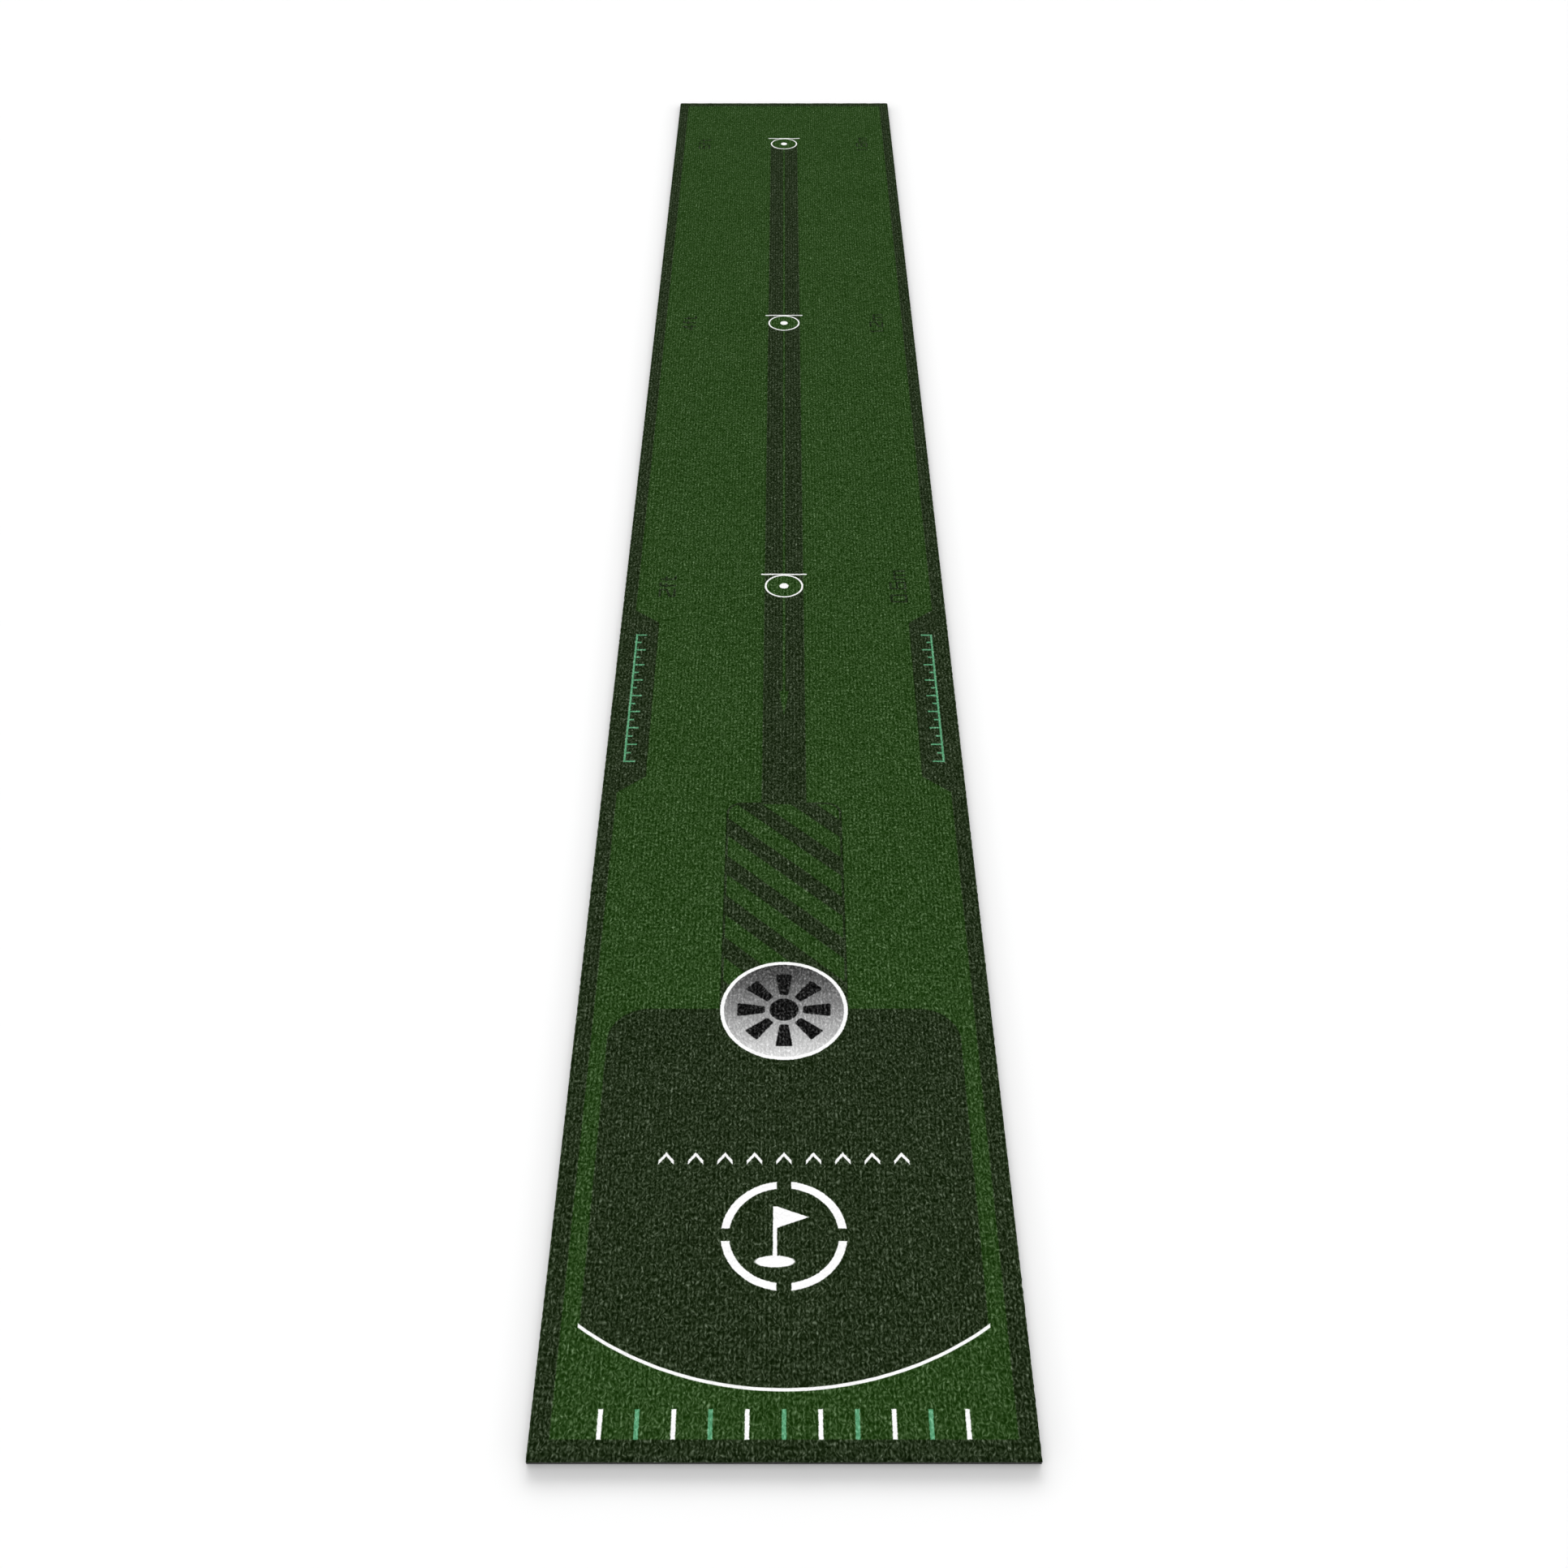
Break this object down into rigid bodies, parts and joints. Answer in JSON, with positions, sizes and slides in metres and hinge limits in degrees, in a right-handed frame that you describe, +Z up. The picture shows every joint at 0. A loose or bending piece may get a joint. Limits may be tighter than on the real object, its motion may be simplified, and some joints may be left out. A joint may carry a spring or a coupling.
{
  "type": "putting mat",
  "caption": "Long narrow roll-up practice putting mat with short green pile on a rubber base, a printed cup, ring targets, an aiming band and a dark border.",
  "frame": {"origin": "middle of the mat's footprint, on the underside of the rubber base", "axes": "+Y along the mat from the cup end to the far end, +X across it, +Z up out of the pile"},
  "size_m": [0.35, 2.4, 0.005],
  "materials": {
    "rubber": "matte",
    "scrim": "matte",
    "turf_green": "matte",
    "turf_dark": "matte",
    "pile_white": "matte",
    "pile_teal": "matte",
    "pile_grey": "matte",
    "pile_black": "matte"
  },
  "bodies": {
    "front_panel": {"rubber_base": "rubber", "backing_scrim": "scrim", "green_field_pile": "turf_green", "border_pile": "turf_dark", "dark_zone_pile": "turf_dark", "arc_line": "pile_white", "gate_ticks_white": "pile_white", "gate_ticks_teal": "pile_teal", "pin_roundel": "pile_white", "chevron_row": "pile_white", "cup_rim_ring": "pile_white", "cup_face": "pile_grey", "cup_slots": "pile_black", "hatch_stripes": "turf_dark", "hatch_outline": "turf_dark"},
    "strip_01": {"mat_strip_01": "turf_green"},
    "strip_02": {"mat_strip_02": "turf_green"},
    "strip_03": {"mat_strip_03": "turf_green"},
    "strip_04": {"mat_strip_04": "turf_green"},
    "strip_05": {"mat_strip_05": "turf_green"},
    "strip_06": {"mat_strip_06": "turf_green"},
    "strip_07": {"mat_strip_07": "turf_green"},
    "strip_08": {"mat_strip_08": "turf_green"},
    "strip_09": {"mat_strip_09": "turf_green", "target_2ft": "pile_white"},
    "strip_10": {"mat_strip_10": "turf_green"},
    "strip_11": {"mat_strip_11": "turf_green"},
    "strip_12": {"mat_strip_12": "turf_green"},
    "strip_13": {"mat_strip_13": "turf_green"},
    "strip_14": {"mat_strip_14": "turf_green"},
    "strip_15": {"mat_strip_15": "turf_green"},
    "strip_16": {"mat_strip_16": "turf_green"},
    "strip_17": {"mat_strip_17": "turf_green"},
    "strip_18": {"mat_strip_18": "turf_green"},
    "strip_19": {"mat_strip_19": "turf_green"},
    "strip_20": {"mat_strip_20": "turf_green"},
    "strip_21": {"mat_strip_21": "turf_green"},
    "strip_22": {"mat_strip_22": "turf_green"},
    "strip_23": {"mat_strip_23": "turf_green", "target_4ft": "pile_white"},
    "strip_24": {"mat_strip_24": "turf_green"},
    "strip_25": {"mat_strip_25": "turf_green"},
    "strip_26": {"mat_strip_26": "turf_green"},
    "strip_27": {"mat_strip_27": "turf_green"},
    "strip_28": {"mat_strip_28": "turf_green"},
    "strip_29": {"mat_strip_29": "turf_green"},
    "strip_30": {"mat_strip_30": "turf_green"},
    "strip_31": {"mat_strip_31": "turf_green"},
    "strip_32": {"mat_strip_32": "turf_green"},
    "strip_33": {"mat_strip_33": "turf_green"},
    "strip_34": {"mat_strip_34": "turf_green"},
    "strip_35": {"mat_strip_35": "turf_green"},
    "strip_36": {"mat_strip_36": "turf_green"},
    "strip_37": {"mat_strip_37": "turf_green", "target_6ft": "pile_white"},
    "strip_38": {"mat_strip_38": "turf_green"},
    "strip_39": {"mat_strip_39": "turf_green"},
    "strip_40": {"mat_strip_40": "turf_green"},
    "strip_41": {"mat_strip_41": "turf_green"},
    "strip_42": {"mat_strip_42": "turf_green"}
  },
  "joints": [
    {"name": "roll_01", "type": "hinge", "parent": "front_panel", "child": "strip_01", "pos_m": [0, -0.54, 0.005], "axis": [1, 0, 0], "range_deg": [0, 25]},
    {"name": "roll_02", "type": "hinge", "parent": "strip_01", "child": "strip_02", "pos_m": [0, -0.4993, 0.005], "axis": [1, 0, 0], "range_deg": [0, 25.5]},
    {"name": "roll_03", "type": "hinge", "parent": "strip_02", "child": "strip_03", "pos_m": [0, -0.4587, 0.005], "axis": [1, 0, 0], "range_deg": [0, 25.5]},
    {"name": "roll_04", "type": "hinge", "parent": "strip_03", "child": "strip_04", "pos_m": [0, -0.418, 0.005], "axis": [1, 0, 0], "range_deg": [0, 26]},
    {"name": "roll_05", "type": "hinge", "parent": "strip_04", "child": "strip_05", "pos_m": [0, -0.3774, 0.005], "axis": [1, 0, 0], "range_deg": [0, 26]},
    {"name": "roll_06", "type": "hinge", "parent": "strip_05", "child": "strip_06", "pos_m": [0, -0.3367, 0.005], "axis": [1, 0, 0], "range_deg": [0, 26.5]},
    {"name": "roll_07", "type": "hinge", "parent": "strip_06", "child": "strip_07", "pos_m": [0, -0.296, 0.005], "axis": [1, 0, 0], "range_deg": [0, 26.5]},
    {"name": "roll_08", "type": "hinge", "parent": "strip_07", "child": "strip_08", "pos_m": [0, -0.2554, 0.005], "axis": [1, 0, 0], "range_deg": [0, 27]},
    {"name": "roll_09", "type": "hinge", "parent": "strip_08", "child": "strip_09", "pos_m": [0, -0.2147, 0.005], "axis": [1, 0, 0], "range_deg": [0, 29.5]},
    {"name": "roll_10", "type": "hinge", "parent": "strip_09", "child": "strip_10", "pos_m": [0, -0.1677, 0.005], "axis": [1, 0, 0], "range_deg": [0, 30.5]},
    {"name": "roll_11", "type": "hinge", "parent": "strip_10", "child": "strip_11", "pos_m": [0, -0.1244, 0.005], "axis": [1, 0, 0], "range_deg": [0, 30]},
    {"name": "roll_12", "type": "hinge", "parent": "strip_11", "child": "strip_12", "pos_m": [0, -0.0811, 0.005], "axis": [1, 0, 0], "range_deg": [0, 30]},
    {"name": "roll_13", "type": "hinge", "parent": "strip_12", "child": "strip_13", "pos_m": [0, -0.0379, 0.005], "axis": [1, 0, 0], "range_deg": [0, 30.5]},
    {"name": "roll_14", "type": "hinge", "parent": "strip_13", "child": "strip_14", "pos_m": [0, 0.0054, 0.005], "axis": [1, 0, 0], "range_deg": [0, 31]},
    {"name": "roll_15", "type": "hinge", "parent": "strip_14", "child": "strip_15", "pos_m": [0, 0.0487, 0.005], "axis": [1, 0, 0], "range_deg": [0, 31.5]},
    {"name": "roll_16", "type": "hinge", "parent": "strip_15", "child": "strip_16", "pos_m": [0, 0.092, 0.005], "axis": [1, 0, 0], "range_deg": [0, 32]},
    {"name": "roll_17", "type": "hinge", "parent": "strip_16", "child": "strip_17", "pos_m": [0, 0.1352, 0.005], "axis": [1, 0, 0], "range_deg": [0, 32.5]},
    {"name": "roll_18", "type": "hinge", "parent": "strip_17", "child": "strip_18", "pos_m": [0, 0.1785, 0.005], "axis": [1, 0, 0], "range_deg": [0, 33]},
    {"name": "roll_19", "type": "hinge", "parent": "strip_18", "child": "strip_19", "pos_m": [0, 0.2218, 0.005], "axis": [1, 0, 0], "range_deg": [0, 33.5]},
    {"name": "roll_20", "type": "hinge", "parent": "strip_19", "child": "strip_20", "pos_m": [0, 0.2651, 0.005], "axis": [1, 0, 0], "range_deg": [0, 34]},
    {"name": "roll_21", "type": "hinge", "parent": "strip_20", "child": "strip_21", "pos_m": [0, 0.3083, 0.005], "axis": [1, 0, 0], "range_deg": [0, 34.5]},
    {"name": "roll_22", "type": "hinge", "parent": "strip_21", "child": "strip_22", "pos_m": [0, 0.3516, 0.005], "axis": [1, 0, 0], "range_deg": [0, 35]},
    {"name": "roll_23", "type": "hinge", "parent": "strip_22", "child": "strip_23", "pos_m": [0, 0.3949, 0.005], "axis": [1, 0, 0], "range_deg": [0, 37.5]},
    {"name": "roll_24", "type": "hinge", "parent": "strip_23", "child": "strip_24", "pos_m": [0, 0.4419, 0.005], "axis": [1, 0, 0], "range_deg": [0, 38.5]},
    {"name": "roll_25", "type": "hinge", "parent": "strip_24", "child": "strip_25", "pos_m": [0, 0.4853, 0.005], "axis": [1, 0, 0], "range_deg": [0, 37.5]},
    {"name": "roll_26", "type": "hinge", "parent": "strip_25", "child": "strip_26", "pos_m": [0, 0.5287, 0.005], "axis": [1, 0, 0], "range_deg": [0, 38.5]},
    {"name": "roll_27", "type": "hinge", "parent": "strip_26", "child": "strip_27", "pos_m": [0, 0.5721, 0.005], "axis": [1, 0, 0], "range_deg": [0, 39]},
    {"name": "roll_28", "type": "hinge", "parent": "strip_27", "child": "strip_28", "pos_m": [0, 0.6154, 0.005], "axis": [1, 0, 0], "range_deg": [0, 40]},
    {"name": "roll_29", "type": "hinge", "parent": "strip_28", "child": "strip_29", "pos_m": [0, 0.6588, 0.005], "axis": [1, 0, 0], "range_deg": [0, 41]},
    {"name": "roll_30", "type": "hinge", "parent": "strip_29", "child": "strip_30", "pos_m": [0, 0.7022, 0.005], "axis": [1, 0, 0], "range_deg": [0, 42]},
    {"name": "roll_31", "type": "hinge", "parent": "strip_30", "child": "strip_31", "pos_m": [0, 0.7456, 0.005], "axis": [1, 0, 0], "range_deg": [0, 43]},
    {"name": "roll_32", "type": "hinge", "parent": "strip_31", "child": "strip_32", "pos_m": [0, 0.789, 0.005], "axis": [1, 0, 0], "range_deg": [0, 44.5]},
    {"name": "roll_33", "type": "hinge", "parent": "strip_32", "child": "strip_33", "pos_m": [0, 0.8324, 0.005], "axis": [1, 0, 0], "range_deg": [0, 45.5]},
    {"name": "roll_34", "type": "hinge", "parent": "strip_33", "child": "strip_34", "pos_m": [0, 0.8758, 0.005], "axis": [1, 0, 0], "range_deg": [0, 47]},
    {"name": "roll_35", "type": "hinge", "parent": "strip_34", "child": "strip_35", "pos_m": [0, 0.9191, 0.005], "axis": [1, 0, 0], "range_deg": [0, 48.5]},
    {"name": "roll_36", "type": "hinge", "parent": "strip_35", "child": "strip_36", "pos_m": [0, 0.9624, 0.005], "axis": [1, 0, 0], "range_deg": [0, 49.5]},
    {"name": "roll_37", "type": "hinge", "parent": "strip_36", "child": "strip_37", "pos_m": [0, 1.0045, 0.005], "axis": [1, 0, 0], "range_deg": [0, 54]},
    {"name": "roll_38", "type": "hinge", "parent": "strip_37", "child": "strip_38", "pos_m": [0, 1.0515, 0.005], "axis": [1, 0, 0], "range_deg": [0, 50]},
    {"name": "roll_39", "type": "hinge", "parent": "strip_38", "child": "strip_39", "pos_m": [0, 1.0833, 0.005], "axis": [1, 0, 0], "range_deg": [0, 41]},
    {"name": "roll_40", "type": "hinge", "parent": "strip_39", "child": "strip_40", "pos_m": [0, 1.1141, 0.005], "axis": [1, 0, 0], "range_deg": [0, 41]},
    {"name": "roll_41", "type": "hinge", "parent": "strip_40", "child": "strip_41", "pos_m": [0, 1.1438, 0.005], "axis": [1, 0, 0], "range_deg": [0, 41]},
    {"name": "roll_42", "type": "hinge", "parent": "strip_41", "child": "strip_42", "pos_m": [0, 1.1724, 0.005], "axis": [1, 0, 0], "range_deg": [0, 41]}
  ]
}
